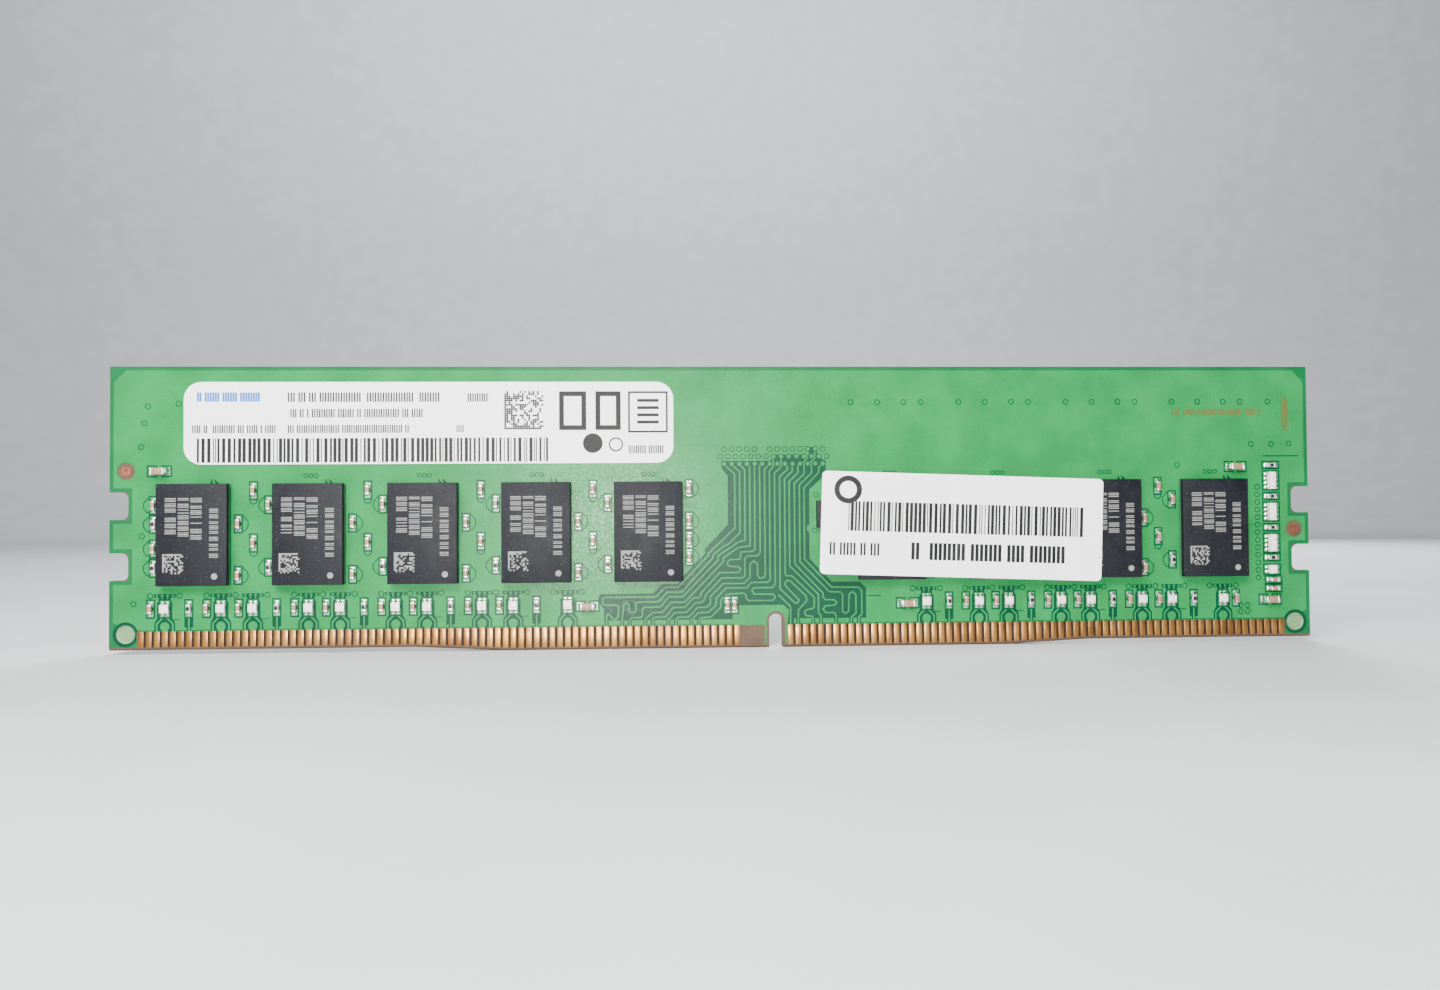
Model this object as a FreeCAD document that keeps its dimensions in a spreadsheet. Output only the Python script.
"""Memory module: a 288-contact DIMM card with nine DRAM packages, built piece by piece.

Frame: +X along the card to the right as seen from the component side, +Z up, away from the contact
edge, and -Y out of the component side. The origin is the middle of the card edge, at the middle of the
card's thickness.
"""
import FreeCAD, Part
import math
import os

import Sketcher
from FreeCAD import Placement, Rotation, Vector

doc = FreeCAD.newDocument("memory_module")

# ---------------------------------------------------------------------------------------------------
# Driving dimensions, in millimetres. Counts are plain numbers.
# ---------------------------------------------------------------------------------------------------
SIZES = {
    # The card: two laminate halves round a copper plane, and an outer layer of copper and solder mask.
    "card_length": 133.35,
    "card_height": 31.25,
    "card_thickness": 1.40,
    "mask_thickness": 0.05,
    "plane_thickness": 0.035,
    "plane_pullback": 0.50,
    # The lower edge: higher at both ends, with two long ramps down to its middle, and a small bevel.
    "edge_step": 0.50,
    "ramp_length": 10.2,
    "ramp_left_of_key": 29.4,
    "ramp_right_of_key": 25.4,
    "bevel_rise": 0.30,
    "bevel_depth": 0.15,
    # Contacts, the same on both faces.
    "contact_pitch": 0.85,
    "contact_width": 0.60,
    "contact_top": 2.50,
    "first_contact_inset": 3.35,
    "contacts_left": 77,
    "contacts_right": 67,
    "key_gap_pitch": 5.95,
    "contact_to_key": 4.30,
    "key_width": 1.50,
    "key_top": 3.70,
    # Latch notches in the two ends.
    "notch_depth": 2.0,
    "notch_height": 3.0,
    "notch_corner": 0.75,
    "lower_notch_z": 8.0,
    "upper_notch_z": 14.6,
    # Round bare windows by the lower corners, and the two copper alignment dots.
    "window_diameter": 2.0,
    "window_inset": 1.75,
    "window_z": 2.2,
    "window_depth": 0.20,
    "fiducial_diameter": 1.0,
    "fiducial_ring": 1.9,
    "fiducial_inset": 1.75,
    "left_fiducial_z": 19.85,
    "right_fiducial_z": 12.75,
    # Plated holes through the board.
    "via_radius": 0.15,
    "via_clearance": 0.20,
    "bus_shift": 0.45,
    "bus_row_z": 20.40,
    "bus_row_step": 0.82,
    "top_via_inset": 4.0,
    "trio_above_dram": 0.85,
    "trio_step": 0.55,
    # DRAM packages: a ball grid array with its balls in two blocks of three columns.
    "dram_width": 7.5,
    "dram_height": 11.0,
    "dram_centre_z": 12.95,
    "dram_pitch": 12.25,
    "dram_first_inset": 9.175,
    "dram_left_count": 5,
    "dram_right_count": 4,
    "dram_bus_gap": 27.0,
    "ball_radius": 0.225,
    "ball_standoff": 0.30,
    "ball_pitch": 0.80,
    "ball_rows": 13,
    "substrate_thickness": 0.20,
    "mould_thickness": 0.70,
    "die_width": 5.2,
    "die_height": 8.6,
    "die_thickness": 0.30,
    # Temperature sensor and identity memory, a leadless package.
    "sensor_width": 2.0,
    "sensor_height": 3.0,
    "sensor_thickness": 0.75,
    "sensor_to_dram": 7.35,
    "sensor_above_dram_centre": 1.80,
    "sensor_pad_thickness": 0.10,
    "sensor_pad_pitch": 0.50,
    "sensor_pad_width": 0.25,
    "sensor_pad_length": 0.40,
    "sensor_paddle_width": 1.40,
    "sensor_paddle_height": 1.50,
    # Chip resistors and capacitors of the small and the large size.
    "chip_length": 1.0,
    "chip_width": 0.5,
    "resistor_height": 0.35,
    "capacitor_height": 0.50,
    "bulk_length": 1.6,
    "bulk_width": 0.8,
    "bulk_height": 0.80,
    "terminal_band": 0.25,
    "bulk_band": 0.35,
    "array_band": 0.20,
    "terminal_wall": 0.03,
    "array_pitch": 0.50,
    "array_terminal_width": 0.32,
    "array_height": 0.35,
    "pad_overhang": 0.30,
    "solder_reach": 0.27,
    # The row of small parts above the contacts.
    "row_z": 4.95,
    "bulk_row_z": 4.75,
    "array_to_capacitor": 1.50,
    "array_to_bulk": 2.15,
    "clock_pair_z": 4.75,
    "clock_pair_step": 0.80,
    # Small parts beside the DRAM packages; heights are above the middle of a package.
    "dram_to_chip": 0.50,
    "side_high": 3.20,
    "side_middle": 1.15,
    "side_low": -3.60,
    "side_foot": -4.45,
    "between_high": 4.75,
    "between_low": -0.95,
    "left_side_extra": -1.50,
    "bus_side_extra": -2.85,
    "bulk_above_dram": 1.40,
    "left_bulk_step": 3.90,
    "right_bulk_step": 2.95,
    # Column of small parts at the right end.
    "end_column_inset": 4.35,
    "end_array_z": 18.25,
    "end_array_step": 3.55,
    "end_resistor_rise": 1.76,
    "end_pair_z": 8.15,
    "end_pair_resistor_rise": 1.35,
    "end_capacitor_z": 6.00,
    "end_capacitor_step": 0.98,
    "end_capacitor_shift": 0.15,
    "end_bulk_shift": -0.30,
    # Small parts on the back, behind the packages.
    "back_step": 2.20,
    "back_rise": 4.00,
    # Paper labels.
    "label_thickness": 0.10,
    "maker_label_width": 53.1,
    "maker_label_height": 9.0,
    "maker_label_inset": 7.875,
    "maker_label_top_inset": 1.70,
    "maker_label_corner": 1.9,
    "part_label_width": 31.6,
    "part_label_height": 11.4,
    "part_label_past_dram": 7.85,
    "part_label_above_dram_centre": 0.35,
    "part_label_corner": 0.5,
    "part_label_tilt": 2.0,
}

sizes = doc.addObject("Spreadsheet::Sheet", "sizes")
for row, (alias, value) in enumerate(SIZES.items(), start=1):
    sizes.set(f"A{row}", alias)
    sizes.set(f"B{row}", str(value))
    sizes.setAlias(f"B{row}", alias)
doc.recompute()


def size(alias):
    """The value of one cell of the sheet."""
    return float(sizes.get(alias))


SUBPARTS = []


def keep(feature, label):
    """Marks a document object as a finished sub-part and names its file."""
    feature.Label = label
    SUBPARTS.append(feature)
    return feature


def bind(feature, **expressions):
    """Ties properties of an object to cells of the sheet; a plain cell name may be used."""
    for name, expression in expressions.items():
        feature.setExpression(name.replace("__", "."), expression)
    return feature


def group(name, solids):
    """A document object that holds several separate solids."""
    feature = doc.addObject("Part::Feature", name)
    feature.Shape = Part.makeCompound(solids)
    feature.Placement = Placement()
    return feature


def slab(name, width, depth, height, left, front, bottom):
    """A Part::Box; its sizes and place are expressions on the sheet."""
    box = doc.addObject("Part::Box", name)
    return bind(
        box,
        Length=width,
        Width=depth,
        Height=height,
        Placement__Base__x=left,
        Placement__Base__y=front,
        Placement__Base__z=bottom,
    )


def cut(name, base, tool):
    """Base minus tool, as a Part::Cut."""
    feature = doc.addObject("Part::Cut", name)
    feature.Base = base
    feature.Tool = tool
    return feature


def block(low, high):
    """A box solid from its lowest to its highest corner."""
    return Part.makeBox(high[0] - low[0], high[1] - low[1], high[2] - low[2], Vector(*low))


half_length = size("card_length") / 2
half_thickness = size("card_thickness") / 2
core_face = half_thickness - size("mask_thickness")


# ---------------------------------------------------------------------------------------------------
# Positions that the whole board shares
# ---------------------------------------------------------------------------------------------------
def contact_x(pin):
    """Centre of contact pin, counted from 1 at the left end of the component side."""
    from_left = size("first_contact_inset") + (pin - 1) * size("contact_pitch")
    if pin > size("contacts_left"):
        from_left += size("key_gap_pitch") - size("contact_pitch")
    return from_left - half_length


key_x = contact_x(int(size("contacts_left"))) + size("contact_to_key")
ramp_left_low = key_x - size("ramp_left_of_key")
ramp_left_high = ramp_left_low - size("ramp_length")
ramp_right_low = key_x + size("ramp_right_of_key")
ramp_right_high = ramp_right_low + size("ramp_length")


def edge_z(x):
    """Height of the card's lower edge at x."""
    rise = max(ramp_left_low - x, x - ramp_right_low, 0.0) / size("ramp_length")
    return size("edge_step") * min(rise, 1.0)


first_dram_x = size("dram_first_inset") - half_length
dram_x = [first_dram_x + k * size("dram_pitch") for k in range(int(size("dram_left_count")))]
right_dram_x = dram_x[-1] + size("dram_bus_gap")
dram_x += [right_dram_x + k * size("dram_pitch") for k in range(int(size("dram_right_count")))]
dram_z = size("dram_centre_z")

# ---------------------------------------------------------------------------------------------------
# Cutters that give every layer of the board the same outline
# ---------------------------------------------------------------------------------------------------
REACH = 2.0  # how far a cutter runs past the card

notch_cutters = []
for end, sign in (("left", -1), ("right", 1)):
    for height in ("lower", "upper"):
        blank = slab(
            f"{end}_{height}_notch_blank",
            f"sizes.notch_depth + {REACH}",
            f"sizes.card_thickness + {2 * REACH}",
            "sizes.notch_height",
            "sizes.card_length / 2 - sizes.notch_depth"
            if sign > 0
            else f"-sizes.card_length / 2 - {REACH}",
            f"-sizes.card_thickness / 2 - {REACH}",
            f"sizes.{height}_notch_z",
        )
        doc.recompute()
        rounded = doc.addObject("Part::Fillet", f"{end}_{height}_notch")
        rounded.Base = blank
        corners = []
        for number, edge in enumerate(blank.Shape.Edges, start=1):
            along_thickness = abs(edge.tangentAt(0).y) > 0.9
            inside_card = abs(edge.CenterOfMass.x) < half_length
            if along_thickness and inside_card:
                corners.append((number, size("notch_corner"), size("notch_corner")))
        rounded.Edges = corners
        notch_cutters.append(rounded)

KEY_X = (
    "sizes.first_contact_inset + (sizes.contacts_left - 1) * sizes.contact_pitch"
    " + sizes.contact_to_key - sizes.card_length / 2"
)
key_slot = slab(
    "key_slot",
    "sizes.key_width",
    f"sizes.card_thickness + {2 * REACH}",
    f"sizes.key_top - sizes.key_width / 2 + {REACH}",
    f"{KEY_X} - sizes.key_width / 2",
    f"-sizes.card_thickness / 2 - {REACH}",
    f"-{REACH}",
)
key_round = doc.addObject("Part::Cylinder", "key_round")
bind(
    key_round,
    Radius="sizes.key_width / 2",
    Height=f"sizes.card_thickness + {2 * REACH}",
    Placement__Base__x=KEY_X,
    Placement__Base__y=f"sizes.card_thickness / 2 + {REACH}",
    Placement__Base__z="sizes.key_top - sizes.key_width / 2",
)
key_round.Placement.Rotation = Rotation(Vector(1, 0, 0), 90)

# The space under the raised ends of the lower edge, ramps included, seen from the front.
end_reliefs = []
for end, sign, low, high in (
    ("left", -1, ramp_left_low, ramp_left_high),
    ("right", 1, ramp_right_low, ramp_right_high),
):
    outer = sign * (half_length + REACH)
    outline = [
        Vector(outer, 0, size("edge_step")),
        Vector(high, 0, size("edge_step")),
        Vector(low, 0, 0),
        Vector(low, 0, -REACH),
        Vector(outer, 0, -REACH),
    ]
    face = Part.Face(Part.makePolygon(outline + outline[:1]))
    relief = doc.addObject("Part::Feature", f"{end}_end_relief")
    relief.Shape = face.extrude(Vector(0, 2 * (half_thickness + REACH), 0))
    relief.Placement = Placement(Vector(0, -half_thickness - REACH, 0), Rotation())
    end_reliefs.append(relief)

# The bevel along the lower edge: one triangle carried along the edge's five straight runs.
edge_stations = [
    -half_length - REACH,
    ramp_left_high,
    ramp_left_low,
    ramp_right_low,
    ramp_right_high,
    half_length + REACH,
]
bevel_slope = size("bevel_depth") / size("bevel_rise")
bevel_cutters = []
for side, sign in (("front", -1), ("back", 1)):
    sections = []
    for x in edge_stations:
        outside = sign * (half_thickness + bevel_slope * REACH)
        triangle = [
            Vector(x, sign * (half_thickness - size("bevel_depth")), edge_z(x)),
            Vector(x, outside, edge_z(x) + size("bevel_rise") + REACH),
            Vector(x, outside, edge_z(x)),
        ]
        sections.append(Part.makePolygon(triangle + triangle[:1]))
    bevel = doc.addObject("Part::Feature", f"{side}_bevel")
    bevel.Shape = Part.makeLoft(sections, True, True)
    bevel.Placement = Placement()
    bevel_cutters.append(bevel)

outline_cutter = doc.addObject("Part::MultiFuse", "outline_cutter")
outline_cutter.Shapes = notch_cutters + [key_slot, key_round] + end_reliefs + bevel_cutters

# ---------------------------------------------------------------------------------------------------
# Plated holes: the bus field beside the key, a spaced row by the top edge, and a trio over each DRAM
# ---------------------------------------------------------------------------------------------------
last_left, first_right = int(size("dram_left_count")) - 1, int(size("dram_left_count"))
bus_x = (dram_x[last_left] + dram_x[first_right]) / 2 + size("bus_shift")
via_places = []
BUS_ROWS = ((14, None), (15, None), (14, 5))  # holes in a row, and the place that is left out
for row, (count, left_out) in enumerate(BUS_ROWS):
    start = bus_x - (count - 1) / 2 * size("contact_pitch")
    z = size("bus_row_z") + row * size("bus_row_step")
    via_places += [
        (start + k * size("contact_pitch"), z) for k in range(count) if k != left_out
    ]
TOP_VIA_STEPS = (-4.35, -1.35, 1.65, 3.60)  # either side of a right-hand package's middle
top_via_z = size("card_height") - size("top_via_inset")
for x in dram_x[first_right:]:
    via_places += [(x + step, top_via_z) for step in TOP_VIA_STEPS]
dram_top = dram_z + size("dram_height") / 2
for x in dram_x[1:]:
    via_places += [
        (x + step * size("trio_step"), dram_top + size("trio_above_dram")) for step in (-1, 0, 1)
    ]


def drill(radius, half_depth):
    """One cylinder through the board at each plated hole."""
    down = Vector(0, 1, 0)
    return [
        Part.makeCylinder(radius, 2 * half_depth, Vector(x, -half_depth, z), down)
        for x, z in via_places
    ]


via_drills = group("via_drills", drill(size("via_radius"), half_thickness + REACH))
plane_drills = group(
    "plane_drills", drill(size("via_radius") + size("via_clearance"), half_thickness + REACH)
)
keep(group("plated_vias", drill(size("via_radius"), core_face)), "plated_vias")

# Recesses of the two round windows: they pass the mask and stop in the front laminate.
window_cutters = []
for sign in (-1, 1):
    recess = Part.makeCylinder(
        size("window_diameter") / 2,
        size("window_depth") + REACH,
        Vector(
            sign * (half_length - size("window_inset")),
            -half_thickness - REACH,
            size("window_z"),
        ),
        Vector(0, 1, 0),
    )
    window_cutters.append(recess)
window_recesses = group("window_recesses", window_cutters)

front_holes = doc.addObject("Part::Compound", "front_holes")
front_holes.Links = [via_drills, window_recesses]

# ---------------------------------------------------------------------------------------------------
# Board: front laminate, ground plane, back laminate
# ---------------------------------------------------------------------------------------------------
LEFT = "-sizes.card_length / 2"
CORE = "sizes.card_thickness / 2 - sizes.mask_thickness"
HALF_PLANE = "sizes.plane_thickness / 2"

front_blank = slab(
    "front_blank",
    "sizes.card_length",
    f"{CORE} - {HALF_PLANE}",
    "sizes.card_height",
    LEFT,
    f"-({CORE})",
    "0",
)
back_blank = slab(
    "back_blank",
    "sizes.card_length",
    f"{CORE} - {HALF_PLANE}",
    "sizes.card_height",
    LEFT,
    HALF_PLANE,
    "0",
)
front_outline = cut("front_outline", front_blank, outline_cutter)
keep(cut("front_laminate", front_outline, front_holes), "front_laminate")
back_outline = cut("back_outline", back_blank, outline_cutter)
keep(cut("back_laminate", back_outline, via_drills), "back_laminate")

# The plane stops short of every edge, so that no copper reaches the card's rim or its notches.
notch_reach = half_length - size("notch_depth") - size("plane_pullback")
plane_blank = slab(
    "plane_blank",
    "sizes.card_length - 2 * sizes.plane_pullback",
    "sizes.plane_thickness",
    "sizes.card_height - 2 * sizes.plane_pullback - sizes.contact_top",
    f"{LEFT} + sizes.plane_pullback",
    f"-{HALF_PLANE}",
    "sizes.contact_top + sizes.plane_pullback",
)
plane_clearances = []
for sign in (-1, 1):
    for height in ("lower_notch_z", "upper_notch_z"):
        inner, outer = sorted((sign * notch_reach, sign * (half_length + REACH)))
        plane_clearances.append(
            block(
                (inner, -REACH, size(height) - size("plane_pullback")),
                (outer, REACH, size(height) + size("notch_height") + size("plane_pullback")),
            )
        )
key_half = size("key_width") / 2 + size("plane_pullback")
plane_clearances.append(
    block(
        (key_x - key_half, -REACH, -REACH),
        (key_x + key_half, REACH, size("key_top") + size("plane_pullback")),
    )
)
plane_clearance = group("plane_clearance", plane_clearances)
plane_outline = cut("plane_outline", plane_blank, plane_clearance)
keep(cut("ground_plane", plane_outline, plane_drills), "ground_plane")


# ---------------------------------------------------------------------------------------------------
# Contacts: gold-plated copper strips, the same on both faces
# ---------------------------------------------------------------------------------------------------
contact_total = int(size("contacts_left") + size("contacts_right"))
for side, sign in (("front", -1), ("back", 1)):
    strips = []
    low_y, high_y = sorted((sign * core_face, sign * half_thickness))
    for pin in range(1, contact_total + 1):
        x = contact_x(pin)
        half_width = size("contact_width") / 2
        foot = max(edge_z(x - half_width), edge_z(x + half_width)) + size("bevel_rise")
        strips.append(
            block((x - half_width, low_y, foot), (x + half_width, high_y, size("contact_top")))
        )
    keep(group(f"{side}_contacts", strips), f"{side}_contacts")


# ---------------------------------------------------------------------------------------------------
# Small parts. Each is built flat: u along its length, v across, w up from the board, then placed.
# ---------------------------------------------------------------------------------------------------
def on_board(shape, x, z, turn=0.0, side="front"):
    """Stands a flat-built shape on a face of the board, turned by a number of degrees."""
    lean = 90 if side == "front" else -90
    y = -half_thickness if side == "front" else half_thickness
    turned = Rotation(Vector(1, 0, 0), lean) * Rotation(Vector(0, 0, 1), turn)
    copy = shape.copy()
    copy.Placement = Placement(Vector(x, y, z), turned)
    return copy


def terminal_row(count, pitch):
    """Middle (u sign, v) of each terminal of a part with count terminals at each end."""
    return [
        (end, (k - (count - 1) / 2) * pitch) for end in (-1, 1) for k in range(count)
    ]


SOLDER_CLIMB = 0.75  # how far up a terminal the solder wets, as a share of the part's height


def small_part(length, width, height, band, count, pitch, terminal_width):
    """Body, terminals, lands, solder and coat of a part with count terminals at each end."""
    wall = size("terminal_wall")
    body = block(
        (-length / 2 + wall, -width / 2 + wall, wall),
        (length / 2 - wall, width / 2 - wall, height - wall),
    )
    coat = block(
        (-length / 2 + band + wall, -width / 2 + 2 * wall, height - wall),
        (length / 2 - band - wall, width / 2 - 2 * wall, height),
    )
    terminals = []
    lands = []
    solder = []
    overhang = size("pad_overhang")
    for end, v in terminal_row(count, pitch):
        inner, outer = sorted((end * (length / 2 - band), end * length / 2))
        v_low, v_high = v - terminal_width / 2, v + terminal_width / 2
        blank = block((inner, v_low, 0), (outer, v_high, height))
        terminals.append(blank.cut(body))
        land_inner, land_outer = sorted((end * (length / 2 - band), end * (length / 2 + overhang)))
        lands.append(block((land_inner, v_low, -size("mask_thickness")), (land_outer, v_high, 0)))
        heel = end * length / 2
        rise = [
            Vector(heel, v_low, 0),
            Vector(heel + end * size("solder_reach"), v_low, 0),
            Vector(heel, v_low, height * SOLDER_CLIMB),
        ]
        wedge = Part.Face(Part.makePolygon(rise + rise[:1]))
        solder.append(wedge.extrude(Vector(0, terminal_width, 0)))
    return {
        "body": [body],
        "coat": [coat],
        "terminal": terminals,
        "land": lands,
        "solder": solder,
    }


PARTS = {
    "resistor": small_part(
        size("chip_length"),
        size("chip_width"),
        size("resistor_height"),
        size("terminal_band"),
        1,
        0.0,
        size("chip_width"),
    ),
    "capacitor": small_part(
        size("chip_length"),
        size("chip_width"),
        size("capacitor_height"),
        size("terminal_band"),
        1,
        0.0,
        size("chip_width"),
    ),
    "bulk_capacitor": small_part(
        size("bulk_length"),
        size("bulk_width"),
        size("bulk_height"),
        size("bulk_band"),
        1,
        0.0,
        size("bulk_width"),
    ),
    "data_array": small_part(
        size("chip_length"),
        2 * size("array_pitch"),
        size("array_height"),
        size("array_band"),
        2,
        size("array_pitch"),
        size("array_terminal_width"),
    ),
    "termination_array": small_part(
        size("chip_length"),
        4 * size("array_pitch"),
        size("array_height"),
        size("array_band"),
        4,
        size("array_pitch"),
        size("array_terminal_width"),
    ),
}

UPRIGHT, LEVEL = 90, 0
row_z = size("row_z")
side_step = size("dram_width") / 2 + size("dram_to_chip") + size("chip_width") / 2
end_x = half_length - size("end_column_inset")

# What stands where: kind, x, z, turn, side.
populated = []

# Row above the contacts, front: per byte lane of eleven contacts two arrays, a resistor between them
# and a supply capacitor before each. The lanes next to the key and at the right end lack some.
LANE = 11
SECOND_ARRAY, LONE_RESISTOR = 7, 3  # contacts past a lane's first array
left_lanes = [4 + LANE * k for k in range(5)]
right_lanes = [96 + LANE * k for k in range(4)]
key_array, last_array = left_lanes[-1] + SECOND_ARRAY, right_lanes[-1] + SECOND_ARRAY
for pin in left_lanes + right_lanes:
    populated.append(("resistor", contact_x(pin + LONE_RESISTOR), row_z, UPRIGHT, "front"))
    for array_pin in (pin, pin + SECOND_ARRAY):
        populated.append(("data_array", contact_x(array_pin), row_z, UPRIGHT, "front"))
        if array_pin not in (key_array, right_lanes[0], last_array):
            beside = contact_x(array_pin) - size("array_to_capacitor")
            populated.append(("capacitor", beside, row_z, UPRIGHT, "front"))
beside = contact_x(last_array) + size("array_to_capacitor")
populated.append(("capacitor", beside, row_z, UPRIGHT, "front"))

# Two capacitors side by side left of the key, on the clock pair.
clock_x = contact_x(int(size("contacts_left"))) - size("contact_pitch") / 3
for x in (clock_x - size("clock_pair_step"), clock_x):
    populated.append(("capacitor", x, size("clock_pair_z"), UPRIGHT, "front"))

# Round each DRAM, front: supply capacitors at both sides and half way to the next package.
for k, x in enumerate(dram_x):
    left, right, between = x - side_step, x + side_step, x + size("dram_pitch") / 2
    populated.append(("capacitor", left, dram_z + size("side_high"), UPRIGHT, "front"))
    populated.append(("resistor", left, dram_z + size("side_low"), UPRIGHT, "front"))
    if k < len(dram_x) - 1:
        populated.append(("capacitor", right, dram_z + size("side_middle"), UPRIGHT, "front"))
    if k not in (last_left, len(dram_x) - 1):
        populated.append(("capacitor", right, dram_z + size("side_foot"), UPRIGHT, "front"))
        for rise in ("between_high", "between_low"):
            populated.append(("capacitor", between, dram_z + size(rise), UPRIGHT, "front"))
left = dram_x[0] - side_step
populated.append(("resistor", left, dram_z + size("side_middle"), UPRIGHT, "front"))
populated.append(("capacitor", left, dram_z + size("left_side_extra"), UPRIGHT, "front"))
for rise in ("between_high", "between_low", "bus_side_extra"):
    place_z = dram_z + size(rise)
    populated.append(("capacitor", dram_x[last_left] + side_step, place_z, UPRIGHT, "front"))

# Bulk capacitors, front, lying level.
bulk_high_z = dram_top + size("bulk_above_dram")
bulk_places = [
    (dram_x[0] - size("left_bulk_step"), bulk_high_z),
    (dram_x[-1] + size("right_bulk_step"), bulk_high_z),
    (contact_x(key_array) + size("array_to_bulk"), size("bulk_row_z")),
    (contact_x(right_lanes[0]) - size("array_to_bulk"), size("bulk_row_z")),
    (end_x + size("end_bulk_shift"), size("bulk_row_z")),
]
for x, z in bulk_places:
    populated.append(("bulk_capacitor", x, z, LEVEL, "front"))

# Column at the right end, front: the arrays that end the address bus, with single parts between.
for k in range(3):
    z = size("end_array_z") - k * size("end_array_step")
    populated.append(("termination_array", end_x, z, LEVEL, "front"))
    populated.append(("resistor", end_x, z + size("end_resistor_rise"), LEVEL, "front"))
pair_z = size("end_pair_z")
populated.append(("data_array", end_x, pair_z, LEVEL, "front"))
populated.append(("resistor", end_x, pair_z + size("end_pair_resistor_rise"), LEVEL, "front"))
for k in range(2):
    z = size("end_capacitor_z") + k * size("end_capacitor_step")
    populated.append(("capacitor", end_x + size("end_capacitor_shift"), z, LEVEL, "front"))

# Back face: one array per pair of data contacts, and supply capacitors behind the packages.
for pin in left_lanes + right_lanes:
    for step in (1, 4.5, 8):
        populated.append(("data_array", contact_x(pin + step), row_z, UPRIGHT, "back"))
BACK_PLACES = ((-1, 1), (1, 1), (0, 0), (-1, -1), (1, -1))
for x in dram_x:
    for across, up in BACK_PLACES:
        place_x, place_z = x + across * size("back_step"), dram_z + up * size("back_rise")
        populated.append(("capacitor", place_x, place_z, UPRIGHT, "back"))


def gathered(kinds, piece, sides=("front", "back")):
    """Every copy of one piece of the given kinds of small part."""
    return [
        on_board(shape, x, z, turn, side)
        for kind, x, z, turn, side in populated
        if kind in kinds and side in sides
        for shape in PARTS[kind][piece]
    ]


for kind, body_name, terminal_name in (
    ("resistor", "resistor_bodies", "resistor_terminals"),
    ("capacitor", "capacitor_bodies", "capacitor_end_caps"),
    ("bulk_capacitor", "bulk_capacitor_bodies", "bulk_capacitor_end_caps"),
    ("data_array", "data_array_bodies", "data_array_terminals"),
    ("termination_array", "termination_array_bodies", "termination_array_terminals"),
):
    keep(group(body_name, gathered([kind], "body")), body_name)
    keep(group(terminal_name, gathered([kind], "terminal")), terminal_name)
for kind, coat_name in (
    ("resistor", "resistor_overcoats"),
    ("data_array", "data_array_overcoats"),
    ("termination_array", "termination_array_overcoats"),
):
    keep(group(coat_name, gathered([kind], "coat")), coat_name)
for side in ("front", "back"):
    keep(group(f"{side}_pads", gathered(PARTS, "land", [side])), f"{side}_pads")
    keep(group(f"{side}_solder", gathered(PARTS, "solder", [side])), f"{side}_solder")

# ---------------------------------------------------------------------------------------------------
# Sensor package: a leadless moulding over eight end pads
# ---------------------------------------------------------------------------------------------------
pad_thickness = size("sensor_pad_thickness")
sensor_x = dram_x[first_right] - size("sensor_to_dram")
sensor_z = dram_z + size("sensor_above_dram_centre")
half_pad = size("sensor_pad_width") / 2
half_sensor = size("sensor_height") / 2
half_paddle = Vector(size("sensor_paddle_width") / 2, size("sensor_paddle_height") / 2, 0)
sensor_pads = [
    block((-half_paddle.x, -half_paddle.y, 0), (half_paddle.x, half_paddle.y, pad_thickness))
]
for end in (-1, 1):
    for k in range(4):
        x = (k - 1.5) * size("sensor_pad_pitch")
        inner, outer = sorted((end * (half_sensor - size("sensor_pad_length")), end * half_sensor))
        sensor_pads.append(block((x - half_pad, inner, 0), (x + half_pad, outer, pad_thickness)))
sensor_pads = [on_board(pad, sensor_x, sensor_z) for pad in sensor_pads]
keep(group("sensor_pads", sensor_pads), "sensor_pads")

FIRST_DRAM_X = "sizes.dram_first_inset - sizes.card_length / 2"
RIGHT_DRAM_X = f"{FIRST_DRAM_X} + (sizes.dram_left_count - 1) * sizes.dram_pitch + sizes.dram_bus_gap"
sensor_body = slab(
    "sensor_body",
    "sizes.sensor_width",
    "sizes.sensor_thickness - sizes.sensor_pad_thickness",
    "sizes.sensor_height",
    f"{RIGHT_DRAM_X} - sizes.sensor_to_dram - sizes.sensor_width / 2",
    "-sizes.card_thickness / 2 - sizes.sensor_thickness",
    "sizes.dram_centre_z + sizes.sensor_above_dram_centre - sizes.sensor_height / 2",
)
keep(sensor_body, "sensor_body")

# ---------------------------------------------------------------------------------------------------
# Solder mask on both faces, open round every land, contact, window and alignment dot
# ---------------------------------------------------------------------------------------------------
band_left = contact_x(1) - size("contact_pitch") / 2
band_right = contact_x(contact_total) + size("contact_pitch") / 2
contact_band = block(
    (band_left, -half_thickness - REACH, -REACH),
    (band_right, half_thickness + REACH, size("contact_top")),
)
dots = []
rings = []
for sign, height in ((-1, "left_fiducial_z"), (1, "right_fiducial_z")):
    centre = Vector(sign * (half_length - size("fiducial_inset")), -half_thickness, size(height))
    dot = Part.makeCylinder(
        size("fiducial_diameter") / 2, size("mask_thickness"), centre, Vector(0, 1, 0)
    )
    ring = Part.makeCylinder(
        size("fiducial_ring") / 2, size("mask_thickness"), centre, Vector(0, 1, 0)
    )
    dots.append(dot)
    rings.append(ring)
keep(group("alignment_dots", dots), "alignment_dots")

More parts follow.
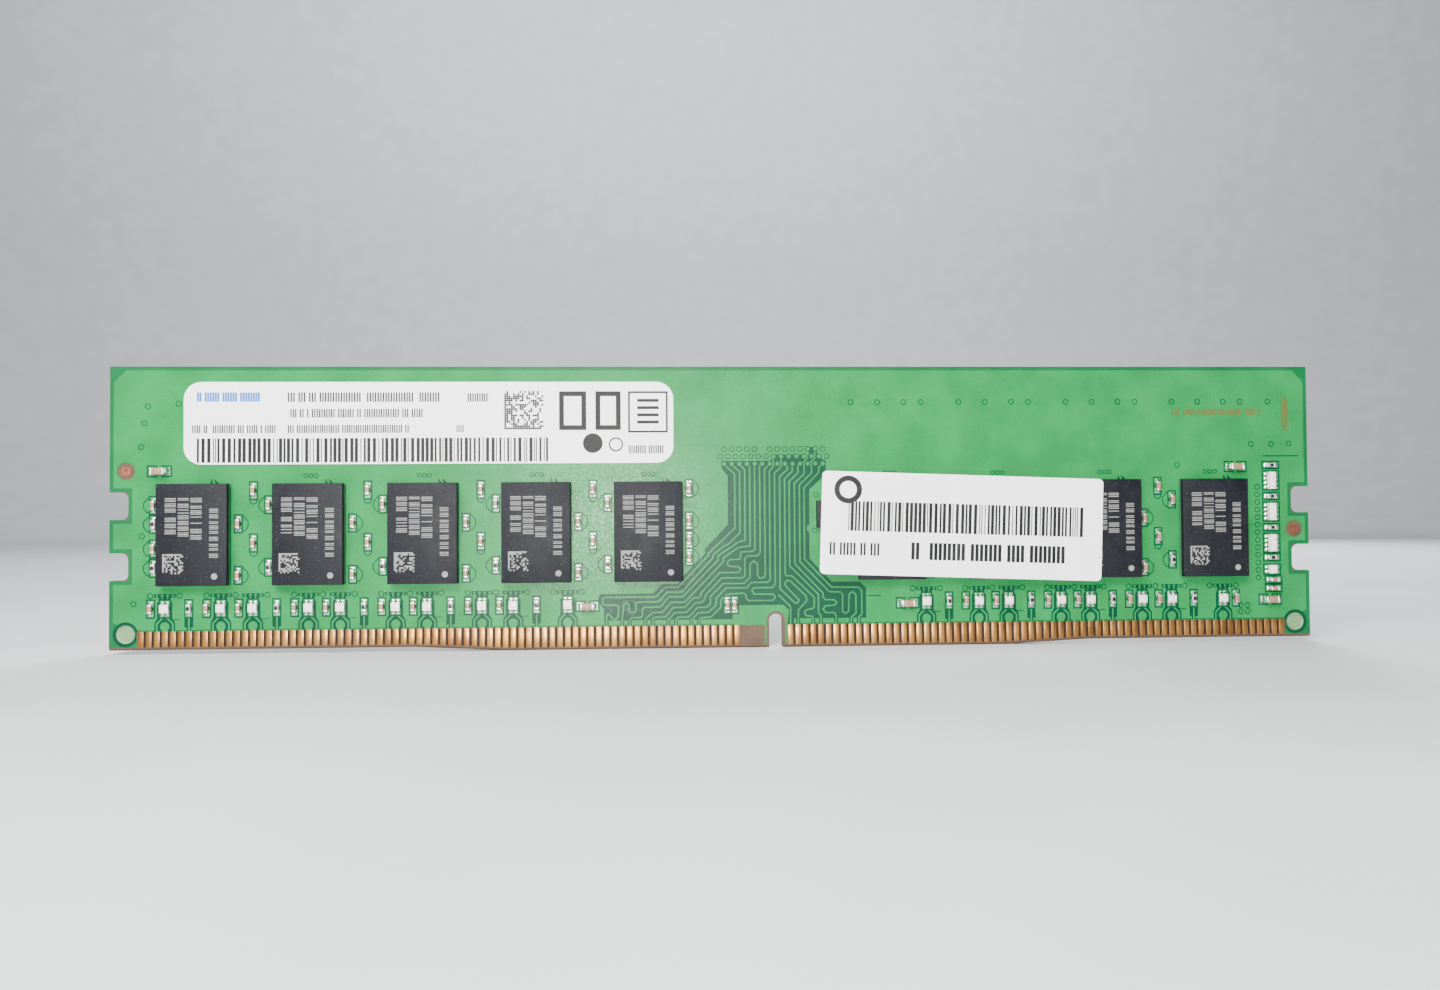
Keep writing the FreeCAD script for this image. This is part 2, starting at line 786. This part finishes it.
mask_openings = {
    "front": [contact_band] + rings + window_cutters,
    "back": [contact_band],
}
for side, front_y in (("front", "-sizes.card_thickness / 2"), ("back", CORE)):
    blank = slab(
        f"{side}_mask_blank",
        "sizes.card_length",
        "sizes.mask_thickness",
        "sizes.card_height",
        LEFT,
        front_y,
        "0",
    )
    outline = cut(f"{side}_mask_outline", blank, outline_cutter)
    openings = gathered(PARTS, "land", [side]) + mask_openings[side]
    opened = cut(f"{side}_solder_mask", outline, group(f"{side}_mask_openings", openings))
    keep(opened, f"{side}_solder_mask")


# ---------------------------------------------------------------------------------------------------
# DRAM packages: solder balls, substrate, die and moulding
# ---------------------------------------------------------------------------------------------------
def rectangle(body, name, width, height):
    """A fully constrained rectangle centred on the body's XZ plane, its sides tied to the sheet."""
    sketch = body.newObject("Sketcher::SketchObject", name)
    plane = [f for f in body.Origin.OriginFeatures if f.Role == "XZ_Plane"][0]
    sketch.AttachmentSupport = (plane, [""])
    sketch.MapMode = "FlatFace"
    corners = [Vector(-1, -1, 0), Vector(1, -1, 0), Vector(1, 1, 0), Vector(-1, 1, 0)]
    for start, end in zip(corners, corners[1:] + corners[:1]):
        sketch.addGeometry(Part.LineSegment(start, end), False)
    for k in range(4):
        sketch.addConstraint(Sketcher.Constraint("Coincident", k, 2, (k + 1) % 4, 1))
    for k, direction in enumerate(("Horizontal", "Vertical") * 2):
        sketch.addConstraint(Sketcher.Constraint(direction, k))
    sketch.addConstraint(Sketcher.Constraint("Symmetric", 0, 1, 2, 1, -1, 1))
    across = sketch.addConstraint(Sketcher.Constraint("DistanceX", 0, 1, 0, 2, 2.0))
    sketch.renameConstraint(across, "across")
    upward = sketch.addConstraint(Sketcher.Constraint("DistanceY", 1, 1, 1, 2, 2.0))
    sketch.renameConstraint(upward, "upward")
    bind(sketch, Constraints__across=width, Constraints__upward=height)
    return sketch


def padded_body(name, width, height, thickness):
    """A body with one pad out of the component side."""
    body = doc.addObject("PartDesign::Body", name)
    sketch = rectangle(body, f"{name}_outline", width, height)
    pad = body.newObject("PartDesign::Pad", f"{name}_pad")
    pad.Profile = sketch
    bind(pad, Length=thickness)
    return body


def place(body, x, out_of_board, z):
    """Puts a body in front of the board, its back face out_of_board in front of the mask."""
    bind(body, Placement__Base__x=x, Placement__Base__y=out_of_board, Placement__Base__z=z)


BOARD_FRONT = "-sizes.card_thickness / 2"
ball_radius = size("ball_radius")
standoff = size("ball_standoff")
# Latitude at which a ball is cut flat by the board and by the substrate.
cap_angle = math.degrees(math.asin(standoff / 2 / ball_radius))
ball = Part.makeSphere(ball_radius, Vector(0, 0, standoff / 2), Vector(0, 0, 1), -cap_angle, cap_angle)
BALL_COLUMNS = (-4, -3, -2, 2, 3, 4)
rows = int(size("ball_rows"))
dies = []
for k, x in enumerate(dram_x, start=1):
    left_block = k <= size("dram_left_count")
    in_block = k - 1 if left_block else k - 1 - int(size("dram_left_count"))
    block_x = FIRST_DRAM_X if left_block else RIGHT_DRAM_X
    x_text = f"{block_x} + {in_block} * sizes.dram_pitch"

    balls = [
        on_board(
            ball,
            x + column * size("ball_pitch"),
            dram_z + (r - (rows - 1) / 2) * size("ball_pitch"),
        )
        for column in BALL_COLUMNS
        for r in range(rows)
    ]
    keep(group(f"dram_{k}_balls", balls), f"dram_{k}_balls")

    substrate = padded_body(
        f"dram_{k}_substrate", "sizes.dram_width", "sizes.dram_height", "sizes.substrate_thickness"
    )
    place(substrate, x_text, f"{BOARD_FRONT} - sizes.ball_standoff", "sizes.dram_centre_z")
    keep(substrate, f"dram_{k}_substrate")

    mould = padded_body(
        f"dram_{k}_mould", "sizes.dram_width", "sizes.dram_height", "sizes.mould_thickness"
    )
    pocket_outline = rectangle(mould, f"dram_{k}_die_outline", "sizes.die_width", "sizes.die_height")
    pocket = mould.newObject("PartDesign::Pocket", f"dram_{k}_die_pocket")
    pocket.Profile = pocket_outline
    pocket.Reversed = True
    bind(pocket, Length="sizes.die_thickness")
    mould_back = f"{BOARD_FRONT} - sizes.ball_standoff - sizes.substrate_thickness"
    place(mould, x_text, mould_back, "sizes.dram_centre_z")
    keep(mould, f"dram_{k}_mould")

    die_foot = standoff + size("substrate_thickness")
    die = block(
        (-size("die_width") / 2, -size("die_height") / 2, die_foot),
        (size("die_width") / 2, size("die_height") / 2, die_foot + size("die_thickness")),
    )
    dies.append(on_board(die, x, dram_z))
keep(group("dram_dies", dies), "dram_dies")


# ---------------------------------------------------------------------------------------------------
# Paper labels: one on the board, one across three packages
# ---------------------------------------------------------------------------------------------------
def label_body(name, x, back_y, z):
    """A thin rectangle with rounded corners, its back face at back_y."""
    body = padded_body(
        name, f"sizes.{name}_width", f"sizes.{name}_height", "sizes.label_thickness"
    )
    doc.recompute()
    pad = body.Tip
    upright = [
        f"Edge{n}"
        for n, edge in enumerate(pad.Shape.Edges, start=1)
        if abs(edge.tangentAt(0).y) > 0.9
    ]
    corners = body.newObject("PartDesign::Fillet", f"{name}_corners")
    corners.Base = (pad, upright)
    bind(corners, Radius=f"sizes.{name}_corner")
    place(body, x, back_y, z)
    return keep(body, name)


label_body(
    "maker_label",
    f"{LEFT} + sizes.maker_label_inset + sizes.maker_label_width / 2",
    BOARD_FRONT,
    "sizes.card_height - sizes.maker_label_top_inset - sizes.maker_label_height / 2",
)
tilted = label_body(
    "part_label",
    f"{RIGHT_DRAM_X} + sizes.part_label_past_dram",
    f"{BOARD_FRONT} - sizes.ball_standoff - sizes.substrate_thickness - sizes.mould_thickness",
    "sizes.dram_centre_z + sizes.part_label_above_dram_centre",
)
tilted.Placement.Rotation = Rotation(Vector(0, 1, 0), size("part_label_tilt"))

# ---------------------------------------------------------------------------------------------------
# Check every object, then write one STEP file per sub-part
# ---------------------------------------------------------------------------------------------------
doc.recompute()
for item in doc.Objects:
    if "Invalid" in item.State or "Error" in item.State:
        raise RuntimeError(f"{item.Name} did not recompute: {item.State}")
for part in SUBPARTS:
    if part.Shape.isNull() or not part.Shape.isValid():
        raise RuntimeError(f"{part.Label} has no valid shape")

os.makedirs("parts", exist_ok=True)
for part in SUBPARTS:
    part.Shape.exportStep(f"parts/{part.Label}.step")
    print(f"{part.Label}: {len(part.Shape.Solids)} solids, {part.Shape.Volume:.3f} mm3")
print(f"{len(SUBPARTS)} sub-parts")
